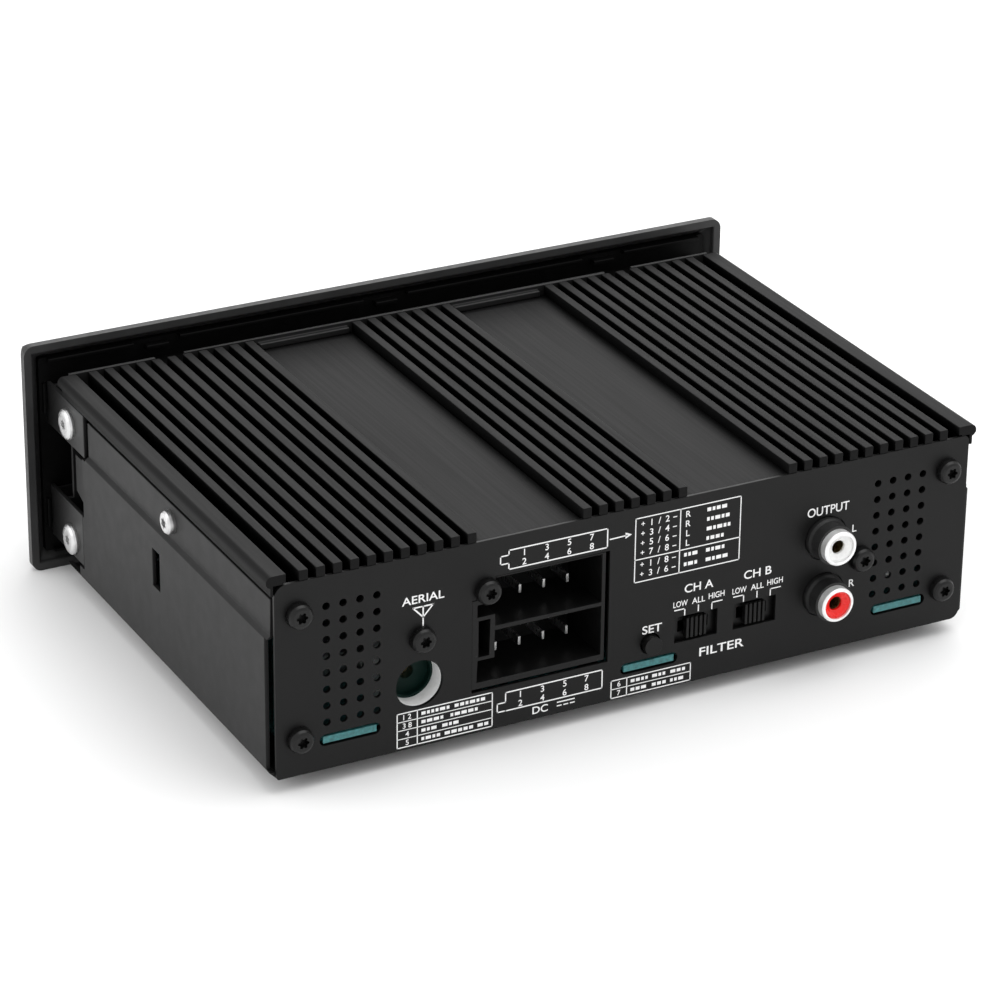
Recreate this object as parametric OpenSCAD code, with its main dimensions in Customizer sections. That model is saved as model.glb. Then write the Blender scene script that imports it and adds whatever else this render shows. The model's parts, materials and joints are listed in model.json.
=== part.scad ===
// Single-DIN car amplifier and receiver: finned top, black rear panel with its sockets,
// folded tray, and a front frame that carries the fascia.
// Millimetres. +Z is up, the fascia faces -Y and the rear panel faces +Y.
// The origin is the middle of the whole object's footprint, at the level of the bezel's lower edge.
// Inside the modules, d is the depth forward of the rear panel's outer face, x runs across
// and z is the height above the underside of the tray.

/* [Body] */
// width of the rear panel
body_w = 174.4; // [160:0.1:178]
// height of the rear panel
body_h = 46.6; // [40:0.1:50]
// depth from the rear panel to the back edge of the bezel
body_d = 124.5; // [100:0.5:165]
// steel sheet of the tray and the front frame
sheet = 1.0; // [0.8:0.1:1.5]
// steel sheet of the rear panel
panel_t = 0.8; // [0.6:0.1:1.2]

/* [Heatsink] */
// height of the fin tips above the underside of the tray
fin_top = 49.1; // [47:0.1:52]
// distance from one fin to the next
fin_pitch = 4; // [3:0.01:6]
// thickness of a fin
fin_t = 2.2; // [1:0.1:3]
// fins in each outer group
outer_fins = 11; // [5:1:14]
// fins in the middle group
middle_fins = 7; // [3:1:9]
// depth of the heatsink
sink_d = 116.4; // [90:0.1:150]

/* [Fascia] */
// width of the bezel
bezel_w = 188; // [182:0.5:190]
// height of the bezel
bezel_h = 58.3; // [53:0.1:60]
// depth of the bezel
bezel_d = 8; // [6:0.5:12]
// wall of the bezel
bezel_t = 2.1; // [1.5:0.1:3]
// height of the tray above the bezel's lower edge
bezel_drop = 3.95; // [1:0.05:8]
// how far the volume knob stands out of the bezel
knob_out = 12; // [6:0.5:20]
// radius of the volume knob
knob_r = 17; // [10:0.5:20]

/* [Sockets] */
// how far the line-out sockets stand out of the rear panel
jack_out = 6.6; // [5:0.1:10]
// outer radius of a line-out socket's metal shell
jack_r = 4.15; // [4:0.01:4.3]
// radius of the aerial socket
aerial_r = 5.65; // [5:0.05:7]
// travel of a crossover switch either side of its middle position
cross_travel = 2.0; // [1:0.1:2.4]

/* [Display] */
// which node to show

/* [Hidden] */

$fn = 48;
fit = 0.1;                                   // gap round a screw or a pressed piece
air = 0.4;                                   // gap between pieces that don't touch
cut = 1;                                     // how far a cutting shape runs past a face
screw_r = 1.5;                               // shank of the machine screws
hole_r = screw_r + fit;

overall_d = knob_out + bezel_d + body_d + jack_out;
y_rear = overall_d / 2 - jack_out;           // outer face of the rear panel
half_w = body_w / 2;
panel_in = panel_t + fit;                    // first depth behind the rear panel

// tray walls: the lower part stands proud, the upper part steps in
lower_wall_x = half_w + 1.2;
upper_wall_x = half_w + 0.2;
step_z = 33.6;
wall_top = 42.9;
low_wall_d = 2.8;                            // the walls stop short of the rear panel,
high_wall_d = 1.6;                           // the lower part further than the upper
wall_front_d = 104.4;
strip_front_d = 110.6;                      // set-back strip between the frame's tabs
tray_front_d = 115.5;
side_screw_at = [54.2, 38.5];                // as [d, z]
side_slot_d = [59.3, 63.3];
side_slot_z = [18.9, 28.4];
ear_d = [100.4, 116];                        // inner ears behind the frame's tabs
low_ear_d = 103.2;
ear_bend = 1.9;                              // width of the bend that joins an ear to its wall

// heatsink profile
plain_z = body_h;                            // level of the plain bands
groove_z = 43.4;                             // floor of the grooves
sink_base_z = 41;
sink_lip_x = half_w + 1.8;
plate_in_x = half_w - 2.9;                   // inner edge of the outer plate
plate_low_z = 47.1;                          // underside of the outer plate
skirt_x = sink_lip_x - 1;                    // outer face of the skirt below it
skirt_z = wall_top + 1.4;                    // lower edge of the skirt
outer_mid_x = half_w / 2 + 16.66;            // middle of an outer group of fins
leg_in_x = 79.4;
leg_out_x = upper_wall_x - sheet - 0.2;
leg_z = 36.2;
leg_front_d = 98;

// sheet-metal front frame and its four tabs
frame_d = 116.8;
tab_x = half_w - 0.2;                        // inner face of the tabs
tab_hi = [33.4, 44.2];
tab_lo = [4.4, 17.6];
tab_screw_d = 113;
tab_screw_z = [38.5, 8.7];
tab_screw_r = 1.75;
frame_ear_x = tab_x - 2.8;                   // screws that hold the frame to the fascia
clip_x = 60.3;                               // notches of the frame's upper edge
ledge_in_x = 14.2;
ledge_out_x = 37.6;

// fascia: f is counted forward from the bezel's back edge, as d = body_d + f
back_f = 1.6;                                // flange of the fascia's back
back_t = 1.4;
tub_f = -5.9;                                // shallow tub behind the flange
tub_half_w = 80;
tub_z = [2.5, 45];
tub_t = 1.2;
board_t = 1.6;
board_f = -board_t;
face_f = 4.4;
face_t = 1.8;
raised_f = bezel_d + 0.4;
bezel_mid_z = bezel_h / 2 - bezel_drop;
edge_f = 2;                                  // straight part of the bezel's edge, before its bevel
inner_edge_f = 1.2;
opening_half_w = bezel_w / 2 - bezel_d - 1;
opening_half_h = bezel_h / 2 - bezel_d + 0.05;
knob_x = -60;
knob_travel = 0.6;                           // push of the knob and its shaft
knob_back_f = raised_f + 2 * knob_travel;
knob_front_f = bezel_d + knob_out;
knob_edge = 1.5;                             // chamfer round the knob's front
knob_wall = 2;
hub_r = 5.5;
shaft_r = 3;
shaft_front_f = knob_front_f - 3;
bush_r = 4.6;
running = 0.06;                              // running clearance round the shaft
display_x = 18;
display_z = bezel_mid_z + 5;
display_w = 82;
display_h = 22;
lens_t = 1.5;
key_w = 12;
key_h = 6;
key_pitch = 14;
key_z = bezel_mid_z - 14.5;
key_travel = 0.5;
power_x = 71;
power_z = bezel_mid_z + 5;
power_r = 4.5;
face_post_x = 75.6;                          // screws of the front board
face_post_z = [8, 39.6];
cable_z = 20;
cable_w = 20;
cable_t = 0.4;
header_d = 96;                               // where the flat cable meets the main board

// main board
pcb_z = 6.3;
pcb_top = pcb_z + board_t;
pcb_half_w = 84;
pcb_d = [2.5, 108];
slot_x = [69.6, -4.5, -70.2];                // slots that the board's tabs stand in
slot_w = 14.6;
slot_h = 2.8;
post_x = 76;
post_d = [14, 96];

// rear panel features, as [x, z]
corner_screws = [[81.7, 38.9], [81.7, 8.9], [-81.7, 38.9], [-81.7, 8.9]];
aerial_screw = [52.4, 26.5];
iso_screw = [36.6, 34.6];
rca_screw = [-59.3, 21.5];
vent_x = 69.1;
vent_low_z = 11.4;
vent_pitch = 4;
vent_r = 0.9;
aerial_at = [52.9, 15.5];
aerial_step_d = 4.9;                         // step that the insulator is pushed up to
insulator_r = aerial_r + 0.2;
sync_at = [-4.7, 12.1];
sync_r = 2.2;
front_cross_at = [-16.4, 13.85];
rear_cross_at = [-31.65, 13.85];
cross_w = 11;
cross_h = 6.4;
rca_x = -49.8;
rca_z = [28.6, 14.4];
jack_seat_r = jack_r - 0.2;                 // the shell inside its boss

// twin connector: cut-out, wells and pins
iso_x = [6.95, 40.0];
iso_z = [10.6, 37.3];
iso_cut = 0.8;
iso_d = 18;
well_x = [7.9, 34.35];
upper_well_z = [25.2, 36.9];
lower_well_z = [12.1, 24.2];
well_floor_d = 16;
key_x = [34.3, 38.7];
pin_pitch_x = 5.95;
pin_pitch_z = 5.0;
pin_tip_d = 8.2;

// power stage
chip_leg_d = [52, 60];
chip_leg_half_w = 26;

// ---- helpers ----

// a flat shape in x and z, carried forward from depth d1 to depth d2
module through(d1, d2) {
    translate([0, y_rear - d1, bezel_drop])
        rotate([90, 0, 0])
            linear_extrude(d2 - d1)
                children();
}

// a flat shape carried forward between two distances ahead of the bezel's back edge
module ahead(f1, f2) {
    through(body_d + f1, body_d + f2)
        children();
}

// a flat shape in d and z, carried across from x1 to x2
module across(x1, x2) {
    translate([x1, y_rear, bezel_drop])
        rotate([90, 0, 90])
            linear_extrude(x2 - x1)
                mirror([1, 0])
                    children();
}

// a flat shape in x and d, carried up from z1 to z2
module upward(z1, z2) {
    translate([0, y_rear, bezel_drop + z1])
        linear_extrude(z2 - z1)
            mirror([0, 1])
                children();
}

// keeps a flat shape for s = 1 and mirrors it for s = -1
module side2(s) {
    if (s > 0)
        children();
    else
        mirror([1, 0])
            children();
}

module both_sides() {
    children();
    mirror([1, 0, 0])
        children();
}

module box2(a1, a2, b1, b2) {
    translate([a1, b1])
        square([a2 - a1, b2 - b1]);
}

module disc(at, r) {
    translate(at)
        circle(r);
}

// rectangle about a centre with rounded corners
module round_rect(cx, cz, w, h, r) {
    translate([cx, cz]) {
        square([w - 2 * r, h], center = true);
        square([w, h - 2 * r], center = true);
        for (i = [-1, 1], k = [-1, 1])
            translate([i * (w / 2 - r), k * (h / 2 - r)])
                circle(r);
    }
}

// slot with round ends, long along x
module long_slot(cx, cz, length, width) {
    translate([cx, cz]) {
        square([length - width, width], center = true);
        for (i = [-1, 1])
            translate([i * (length - width) / 2, 0])
                circle(width / 2);
    }
}

// six-lobed screw recess
module star(r) {
    circle(r * 0.72);
    for (a = [0 : 60 : 300])
        rotate(a)
            translate([r * 0.72, 0])
                circle(r * 0.28);
}

// screw along +Z: its head stands on z = 0 and its shank runs down
module screw(head_r, head_h, shank_r, length, drive_r) {
    difference() {
        // pan head: a low rim and a domed shoulder
        rotate_extrude()
            polygon(concat(
                [[0, 0], [head_r, 0]],
                [for (a = [0 : 30 : 90])
                    [head_r * (0.66 + 0.34 * cos(a)), head_h * (0.35 + 0.65 * sin(a))]],
                [[0, head_h]]));
        translate([0, 0, head_h * 0.35])
            linear_extrude(head_h)
                star(drive_r);
    }
    translate([0, 0, -length])
        cylinder(h = length, r = shank_r);
}

// ---- casings ----

module tray_outline(inset) {
    x1 = lower_wall_x - inset;
    x2 = upper_wall_x - inset;
    r = 1.6 - inset * 0.6;
    for (s = [1, -1])
        side2(s)
            polygon([[0, inset], [x1 - r, inset], [x1, inset + r], [x1, step_z],
                     [x2, step_z + 0.7], [x2, wall_top + inset], [0, wall_top + inset]]);
}

module tray_profile() {
    difference() {
        tray_outline(0);
        tray_outline(sheet);
        box2(-half_w - 5, half_w + 5, wall_top, wall_top + 5);
    }
}

module tray_ears() {
    ear_in = tab_x - fit - sheet;
    ear_z = [tab_hi[0] + 1.8, sink_base_z - 0.2];
    low_ear_z = [tab_lo[0] + 0.6, tab_lo[1] - 1.6];
    difference() {
        union() {
            across(ear_in, ear_in + sheet)
                box2(ear_d[0], ear_d[1], ear_z[0], ear_z[1]);
            across(ear_in, ear_in + sheet)
                box2(low_ear_d, ear_d[1], low_ear_z[0], low_ear_z[1]);
            across(ear_in, upper_wall_x - sheet + fit)
                box2(ear_d[0], ear_d[0] + ear_bend, ear_z[0], ear_z[1]);
            across(ear_in, lower_wall_x - sheet + fit)
                box2(low_ear_d, low_ear_d + ear_bend, low_ear_z[0], low_ear_z[1]);
        }
        for (z = tab_screw_z)
            across(ear_in - cut, tab_x)
                disc([tab_screw_d, z], tab_screw_r + fit);
    }
}

module chassis_tray() {
    wall_in = half_w - 3;
    wall_out = half_w + 3;
    color([0.2, 0.2, 0.2]) {
        difference() {
            through(panel_in, tray_front_d)
                tray_profile();
            // the lower wall at +X stops further short than the one at -X
            across(wall_in + 1, wall_out)
                box2(0, low_wall_d, 1.6, step_z);
            both_sides() {
                across(wall_in + 1, wall_out)
                    box2(0, high_wall_d, step_z - cut, wall_top + cut);
                // front edges, cut away for the frame's tabs
                across(wall_in + 1, wall_out)
                    polygon([[102.4, wall_top + cut], [102.4, 33.2], [wall_front_d, 33.2],
                             [wall_front_d, 18], [105.2, 18], [105.2, 4.1], [107.8, 4.1],
                             [107.8, 1.7], [tray_front_d + cut, 1.7], [tray_front_d + cut, wall_top + cut]]);
                across(wall_in, wall_out)
                    box2(side_slot_d[0], side_slot_d[1], side_slot_z[0], side_slot_z[1]);
                across(wall_in, wall_out)
                    disc(side_screw_at, hole_r);
            }
        }
        both_sides() {
            tray_ears();
            // strip between the ears, joggled in by nearly a sheet's thickness
            across(lower_wall_x - 1.9 * sheet, lower_wall_x - 0.9 * sheet)
                polygon([[wall_front_d - 1.2, step_z - 2], [strip_front_d, step_z - 2],
                         [strip_front_d, 22.5], [wall_front_d - 1.2, 19.5]]);
        }
        // ears for the rear panel's lower screws
        for (s = [1, -1])
            difference() {
                through(panel_in, panel_in + sheet)
                    side2(s)
                        box2(post_x + 2.4, half_w - 2, sheet, 13);
                through(0, 5)
                    disc([s * corner_screws[1][0], corner_screws[1][1]], hole_r);
            }
        // posts that carry the main board
        for (x = [-post_x, post_x], d = post_d)
            difference() {
                upward(sheet, pcb_z)
                    disc([x, d], 3.4);
                upward(sheet + 0.6, pcb_z + cut)
                    disc([x, d], 1.4 + fit);
            }
    }
}

module fin_row(middle, count) {
    for (i = [0 : count - 1])
        box2(middle + (i - (count - 1) / 2) * fin_pitch - fin_t / 2,
             middle + (i - (count - 1) / 2) * fin_pitch + fin_t / 2,
             sink_base_z + 1, fin_top);
}

module outer_plate() {
    r = 1.4;
    // web on the base, skirt above the tray's wall, and a plate that overhangs both
    box2(plate_in_x + 0.9, leg_out_x, sink_base_z + 1, fin_top - 1);
    box2(plate_in_x + 0.9, skirt_x, skirt_z, fin_top - 1);
    box2(plate_in_x, sink_lip_x, plate_low_z, fin_top - r);
    box2(plate_in_x, sink_lip_x - r, plate_low_z, fin_top);
    disc([sink_lip_x - r, fin_top - r], r);
}

module sink_profile() {
    box2(-leg_out_x, leg_out_x, sink_base_z, groove_z);
    for (s = [-1, 1]) {
        fin_row(s * outer_mid_x, outer_fins);
        box2(min(s * 13.3, s * 39.2), max(s * 13.3, s * 39.2), sink_base_z + 1, plain_z);
    }
    fin_row(0, middle_fins);
    for (s = [-1, 1])
        side2(s)
            outer_plate();
}

module heatsink() {
    color([0.27, 0.27, 0.28])
        difference() {
            union() {
                through(panel_in, sink_d)
                    sink_profile();
                // the fins and the lips run on over the rear panel's upper edge
                through(0, panel_in)
                    intersection() {
                        sink_profile();
                        union() {
                            box2(-sink_lip_x, sink_lip_x, body_h + 0.05, fin_top + 1);
                            box2(half_w + 0.1, sink_lip_x + 1, wall_top, fin_top);
                            box2(-sink_lip_x - 1, -half_w - 0.1, wall_top, fin_top);
                        }
                    }
                // side legs that the side and upper rear screws hold
                for (s = [-1, 1])
                    through(panel_in, leg_front_d)
                        side2(s)
                            box2(leg_in_x, leg_out_x, leg_z, sink_base_z + 0.5);
                // leg that the amplifier chip is clamped to
                upward(12, sink_base_z + 0.5)
                    box2(-chip_leg_half_w, chip_leg_half_w, chip_leg_d[0], chip_leg_d[1]);
            }
            for (s = [-1, 1])
                through(0, 12)
                    disc([s * corner_screws[0][0], corner_screws[0][1]], hole_r);
            both_sides()
                across(leg_out_x - 6, leg_out_x + 1)
                    disc(side_screw_at, hole_r);
            for (x = [-19, 19])
                through(chip_leg_d[1] - 7, chip_leg_d[1] + 1)
                    disc([x, 21], hole_r);
        }
}

module panel_outline() {
    difference() {
        box2(-half_w, half_w, 0, body_h);
        // each corner has its own radius
        panel_corner(half_w, body_h, 3.0, -1, -1);
        panel_corner(-half_w, body_h, 1.4, 1, -1);
        panel_corner(-half_w, 0, 2.2, 1, 1);
        panel_corner(half_w, 0, 0.8, -1, 1);
    }
}

module panel_corner(x, z, r, sx, sz) {
    translate([x, z])
        difference() {
            translate([sx > 0 ? -1 : -r, sz > 0 ? -1 : -r])
                square(r + 1);
            translate([sx * r, sz * r])
                circle(r);
        }
}

module vent_grid(middle) {
    for (i = [-1.5 : 1 : 1.5], k = [0 : 7])
        disc([middle + i * vent_pitch, vent_low_z + k * vent_pitch], vent_r);
}

module rear_panel() {
    color([0.13, 0.13, 0.13])
        through(0, panel_t)
            difference() {
                panel_outline();
                for (at = corner_screws)
                    disc(at, hole_r);
                for (at = [aerial_screw, iso_screw, rca_screw])
                    disc(at, hole_r);
                vent_grid(vent_x);
                vent_grid(-vent_x);
                for (x = slot_x)
                    long_slot(x, pcb_z + board_t / 2, slot_w, slot_h);
                disc(aerial_at, aerial_r);
                // cut-out of the twin connector, with a tongue left for its screw
                box2(iso_x[0] - iso_cut, 34.4, iso_z[0] - 0.6, iso_z[1] + 0.2);
                box2(34, iso_x[1] + 0.1, iso_z[0] - 0.6, 32.7);
                disc(sync_at, sync_r + 0.4);
                for (at = [front_cross_at, rear_cross_at])
                    translate(at)
                        square([cross_w, cross_h], center = true);
                for (z = rca_z)
                    disc([rca_x, z], 5.5);
            }
}

module frame_sheet() {
    difference() {
        union() {
            box2(-half_w + 1.4, half_w - 1.4, 1.6, fin_top);
            for (s = [-1, 1], t = [tab_hi, tab_lo])
                side2(s)
                    box2(half_w - 3, tab_x + sheet, t[0], t[1]);
        }
        for (s = [-1, 1])
            round_rect(s * clip_x, fin_top - 1, 7.6, 6.4, 0.6);
        round_rect(0, cable_z, cable_w + 4, 5, 1);
    }
}

module front_frame() {
    color([0.23, 0.23, 0.24]) {
        difference() {
            union() {
                through(frame_d, frame_d + sheet)
                    frame_sheet();
                // short ledges that lie on the heatsink's plain bands
                for (s = [-1, 1])
                    through(115.4, frame_d + 0.1)
                        side2(s)
                            box2(ledge_in_x, ledge_out_x, plain_z + 0.05, 48.1);
                both_sides()
                    for (t = [[tab_hi, 103.7], [tab_lo, 106.2]]) {
                        across(tab_x, tab_x + sheet)
                            box2(t[1], body_d + back_f, t[0][0], t[0][1]);
                        across(frame_ear_x - 2.8, tab_x + 0.5)
                            box2(body_d + back_f - sheet, body_d + back_f, t[0][0] + 1, t[0][1] - 1);
                    }
            }
            both_sides()
                for (z = tab_screw_z) {
                    across(tab_x - 1, tab_x + 3)
                        disc([tab_screw_d, z], tab_screw_r + 0.15);
                    ahead(0, back_f + cut)
                        disc([frame_ear_x, z], hole_r);
                }
        }
    }
}

// block whose four sides run straight back to f0 and then lean in at 45 degrees
module bevelled_block(half_w, half_h, f_from, f0, f_to) {
    slope = f_to - f0;
    d0 = body_d;
    intersection() {
        across(-half_w - 1, half_w + 1)
            polygon([[d0 + f_from, bezel_mid_z - half_h], [d0 + f0, bezel_mid_z - half_h],
                     [d0 + f_to, bezel_mid_z - half_h + slope], [d0 + f_to, bezel_mid_z + half_h - slope],
                     [d0 + f0, bezel_mid_z + half_h], [d0 + f_from, bezel_mid_z + half_h]]);
        upward(bezel_mid_z - half_h - 1, bezel_mid_z + half_h + 1)
            polygon([[-half_w, d0 + f_from], [half_w, d0 + f_from], [half_w, d0 + f0],
                     [half_w - slope, d0 + f_to], [slope - half_w, d0 + f_to], [-half_w, d0 + f0]]);
    }
}

module bezel() {
    color([0.15, 0.15, 0.15])
        difference() {
            intersection() {
                bevelled_block(bezel_w / 2, bezel_h / 2, 0, edge_f, bezel_d);
                through(body_d - 1, body_d + bezel_d + 1)
                    round_rect(0, bezel_mid_z, bezel_w, bezel_h, 2.6);
            }
            bevelled_block(bezel_w / 2 - bezel_t, bezel_h / 2 - bezel_t, -1, inner_edge_f, bezel_d - 1.6);
            through(body_d + 1, body_d + bezel_d + 1)
                round_rect(0, bezel_mid_z, 2 * opening_half_w, 2 * opening_half_h, 2);
        }
}

module fascia_back() {
    inset = bezel_t + back_f + back_t - inner_edge_f + 0.2;
    tub_mid = (tub_z[0] + tub_z[1]) / 2;
    tub_h = tub_z[1] - tub_z[0];
    edge_z = bezel_mid_z + bezel_h / 2 - inset;
    low_edge_z = 2 * bezel_mid_z - edge_z;
    edge_x = bezel_w / 2 - inset;
    lug_half_w = 2.8;
    color([0.1, 0.1, 0.1])
        difference() {
            union() {
                ahead(back_f, back_f + back_t)
                    round_rect(0, bezel_mid_z, 2 * edge_x, bezel_h - 2 * inset, 0.6);
                ahead(tub_f, back_f + fit)
                    round_rect(0, tub_mid, 2 * tub_half_w, tub_h, 1.5);
                // raised edge along the top, broken where the mounting sleeve's springs sit
                ahead(0, back_f + fit)
                    difference() {
                        box2(-edge_x + 2, edge_x - 2, edge_z - 0.8, edge_z);
                        for (x = [-clip_x, 0, clip_x])
                            box2(x - 6, x + 6, edge_z - 2, edge_z + 1);
                    }
                for (x = [-clip_x, 0, clip_x])
                    ahead(-0.6, back_f + fit)
                        box2(x - lug_half_w, x + lug_half_w, edge_z - 2, edge_z - 1);
                // raised edge along the bottom
                ahead(0, back_f + fit)
                    box2(-edge_x + 2, edge_x - 2, low_edge_z, low_edge_z + 0.8);
                // short raised edges at the sides
                for (s = [-1, 1], z = tab_screw_z)
                    ahead(back_f - 1, back_f + fit)
                        side2(s)
                            box2(edge_x - 1.4, edge_x - 0.7, z - 2, z + 5.5);
            }
            // hollow of the tub, and the flat cable's way in
            ahead(tub_f + tub_t, back_f + 3)
                round_rect(0, tub_mid, 2 * (tub_half_w - tub_t), tub_h - 2 * tub_t, 1);
            ahead(tub_f - cut, back_f)
                round_rect(0, cable_z, cable_w + 4, 5, 1);
            both_sides()
                for (z = tab_screw_z)
                    ahead(back_f - cut, back_f + back_t + cut)
                        disc([frame_ear_x, z], hole_r);
        }
}

// ---- fascia ----

function key_x_at(i) = display_x + (i - 2.5) * key_pitch;

module face_posts(r, f1, f2) {
    for (x = [-face_post_x, face_post_x], z = face_post_z)
        ahead(f1, f2)
            disc([x, z], r);
}

module faceplate() {
    inset = bezel_t + face_f + face_t - inner_edge_f + 0.3;
    past = raised_f + cut;
    color([0.08, 0.08, 0.09])
        difference() {
            union() {
                ahead(face_f, face_f + face_t)
                    round_rect(0, bezel_mid_z, bezel_w - 2 * inset, bezel_h - 2 * inset, 0.6);
                ahead(face_f + 1, raised_f)
                    round_rect(0, bezel_mid_z, 2 * opening_half_w - 0.6, 2 * opening_half_h - 0.6, 1.8);
                // posts that the front board is screwed to
                face_posts(2.6, 0, face_f + fit);
            }
            // window and the step that the lens lies in
            ahead(face_f - cut, past)
                round_rect(display_x, display_z, display_w, display_h, 1);
            ahead(raised_f - lens_t, past)
                round_rect(display_x, display_z, display_w + 5, display_h + 5, 1.5);
            ahead(face_f - cut, past)
                knob_disc(bush_r + air);
            for (i = [0 : 5])
                ahead(face_f - cut, past)
                    round_rect(key_x_at(i), key_z, key_w + 2 * air, key_h + 2 * air, 1.4);
            ahead(face_f - cut, past)
                disc([power_x, power_z], power_r + air);
            face_posts(1.3, -cut, face_f + 1);
        }
}

module display_lens() {
    color([0.05, 0.06, 0.08, 0.6])
        ahead(raised_f - lens_t + 0.02, raised_f)
            round_rect(display_x, display_z, display_w + 4.8, display_h + 4.8, 1.4);
}

module display_module() {
    color([0.5, 0.55, 0.6])
        difference() {
            ahead(0, 4)
                round_rect(display_x, display_z, display_w + 2, display_h + 2, 0.6);
            ahead(3.4, 5)
                round_rect(display_x, display_z, display_w - 4, display_h - 4, 0.4);
        }
}

module front_board() {
    margin = tub_t + air;
    color([0.05, 0.3, 0.15])
        difference() {
            ahead(board_f, 0)
                round_rect(0, (tub_z[0] + tub_z[1]) / 2, 2 * (tub_half_w - margin),
                           tub_z[1] - tub_z[0] - 2 * margin, 1);
            face_posts(1.4, board_f - cut, cut);
        }
}

// socket of the flat cable on the back of the front board
module front_header() {
    color([0.9, 0.88, 0.8])
        difference() {
            ahead(board_f - 2.6, board_f)
                box2(-cable_w / 2 - 2, cable_w / 2 + 2, cable_z - 2, cable_z + cable_t + 2);
            ahead(board_f - 3, board_f - 1)
                box2(-cable_w / 2 - 0.05, cable_w / 2 + 0.05, cable_z - 0.02, cable_z + cable_t + 0.02);
        }
}

module front_switches() {
    color([0.6, 0.6, 0.6]) {
        for (i = [0 : 5])
            ahead(0, 2.4)
                round_rect(key_x_at(i), key_z, 6, 6, 0.4);
        ahead(0, 2.4)
            round_rect(power_x, power_z, 6, 6, 0.4);
    }
}

module front_board_screws() {
    color([0.7, 0.7, 0.7])
        for (x = [-face_post_x, face_post_x], z = face_post_z)
            translate([x, y_rear - body_d - board_f, bezel_drop + z])
                rotate([-90, 0, 0])
                    screw(2.2, 1.4, 1.2, 5, 1.0);
}

module knob_disc(r) {
    disc([knob_x, bezel_mid_z], r);
}

module volume_knob() {
    edge_f1 = knob_front_f - knob_edge;
    color([0.12, 0.12, 0.13])
        difference() {
            union() {
                ahead(knob_back_f, edge_f1)
                    knob_disc(knob_r);
                translate([knob_x, y_rear - body_d - edge_f1, bezel_drop + bezel_mid_z])
                    rotate([90, 0, 0])
                        cylinder(h = knob_edge, r1 = knob_r, r2 = knob_r - knob_edge);
            }
            // hollow behind, with a hub for the shaft
            ahead(knob_back_f - cut, shaft_front_f)
                difference() {
                    knob_disc(knob_r - knob_wall);
                    knob_disc(hub_r);
                }
            ahead(knob_back_f - cut, shaft_front_f)
                shaft_section(shaft_r);
            // shallow finger dish
            ahead(knob_front_f - 0.8, knob_front_f + cut)
                knob_disc(knob_r - 4);
        }
}

// round shaft with one flat
module shaft_section(r) {
    difference() {
        knob_disc(r);
        box2(knob_x - 5, knob_x + 5, bezel_mid_z + r - 1, bezel_mid_z + 6);
    }
}

module encoder_shaft() {
    color([0.7, 0.7, 0.72])
        ahead(1.4, shaft_front_f)
            shaft_section(shaft_r);
}

module encoder_rotor() {
    color([0.2, 0.2, 0.2])
        ahead(0.9, 2.8)
            difference() {
                knob_disc(bush_r - air);
                shaft_section(shaft_r + running);
            }
}

module encoder_housing() {
    color([0.35, 0.35, 0.38])
        difference() {
            union() {
                ahead(0, 4.2)
                    round_rect(knob_x, bezel_mid_z, 12.6, 12.6, 0.6);
                ahead(4, 7)
                    knob_disc(bush_r);
            }
            // the rotor turns in this chamber
            ahead(0.5, 3.2)
                knob_disc(bush_r);
            ahead(3, 8)
                knob_disc(shaft_r + running);
        }
}

// push key: cap, and a wider foot that keeps it behind the faceplate
cap_f = raised_f + 1;
foot_f = [face_f - air - 0.8, face_f - air];

module key(i) {
    color([0.15, 0.15, 0.16]) {
        ahead(foot_f[1] - fit, cap_f)
            round_rect(key_x_at(i), key_z, key_w, key_h, 1);
        ahead(foot_f[0], foot_f[1])
            round_rect(key_x_at(i), key_z, key_w + 1.4, key_h + 1.6, 1);
    }
}

module source_button() key(0);
module menu_button() key(1);
module previous_button() key(2);
module play_button() key(3);
module next_button() key(4);
module back_button() key(5);

module power_button() {
    color([0.15, 0.15, 0.16]) {
        ahead(foot_f[1] - fit, cap_f)
            disc([power_x, power_z], power_r);
        ahead(foot_f[0], foot_f[1])
            disc([power_x, power_z], power_r + 0.9);
    }
}

module flat_cable() {
    color([0.85, 0.85, 0.85]) {
        upward(cable_z, cable_z + cable_t)
            box2(-cable_w / 2, cable_w / 2, header_d, body_d + board_f - 1);
        through(header_d, header_d + cable_t)
            box2(-cable_w / 2, cable_w / 2, pcb_top + 1, cable_z + cable_t);
    }
}

// ---- board and its parts ----

module board_header() {
    color([0.9, 0.88, 0.8])
        difference() {
            upward(pcb_top, pcb_top + 5)
                box2(-cable_w / 2 - 2, cable_w / 2 + 2, header_d - 2, header_d + 2.4);
            upward(pcb_top + 1, pcb_top + 6)
                box2(-cable_w / 2 - 0.05, cable_w / 2 + 0.05, header_d - 0.02, header_d + cable_t + 0.02);
        }
}

module main_board() {
    color([0.15, 0.45, 0.45])
        difference() {
            union() {
                upward(pcb_z, pcb_top)
                    box2(-pcb_half_w, pcb_half_w, pcb_d[0], pcb_d[1]);
                // tabs that stand in the rear panel's slots
                for (x = slot_x)
                    upward(pcb_z, pcb_top)
                        box2(x - slot_w / 2 + 0.9, x + slot_w / 2 - 0.9, 0.15, pcb_d[0] + 1);
            }
            for (x = [-post_x, post_x], d = post_d)
                upward(pcb_z - 1, pcb_top + 1)
                    disc([x, d], 1.5);
            // room for the rear ears' screws and the front corners
            for (s = [-1, 1])
                upward(pcb_z - 1, pcb_top + 1)
                    side2(s) {
                        box2(78, 90, 0, 8);
                        box2(80, 90, 99, 112);
                    }
        }
}

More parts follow.
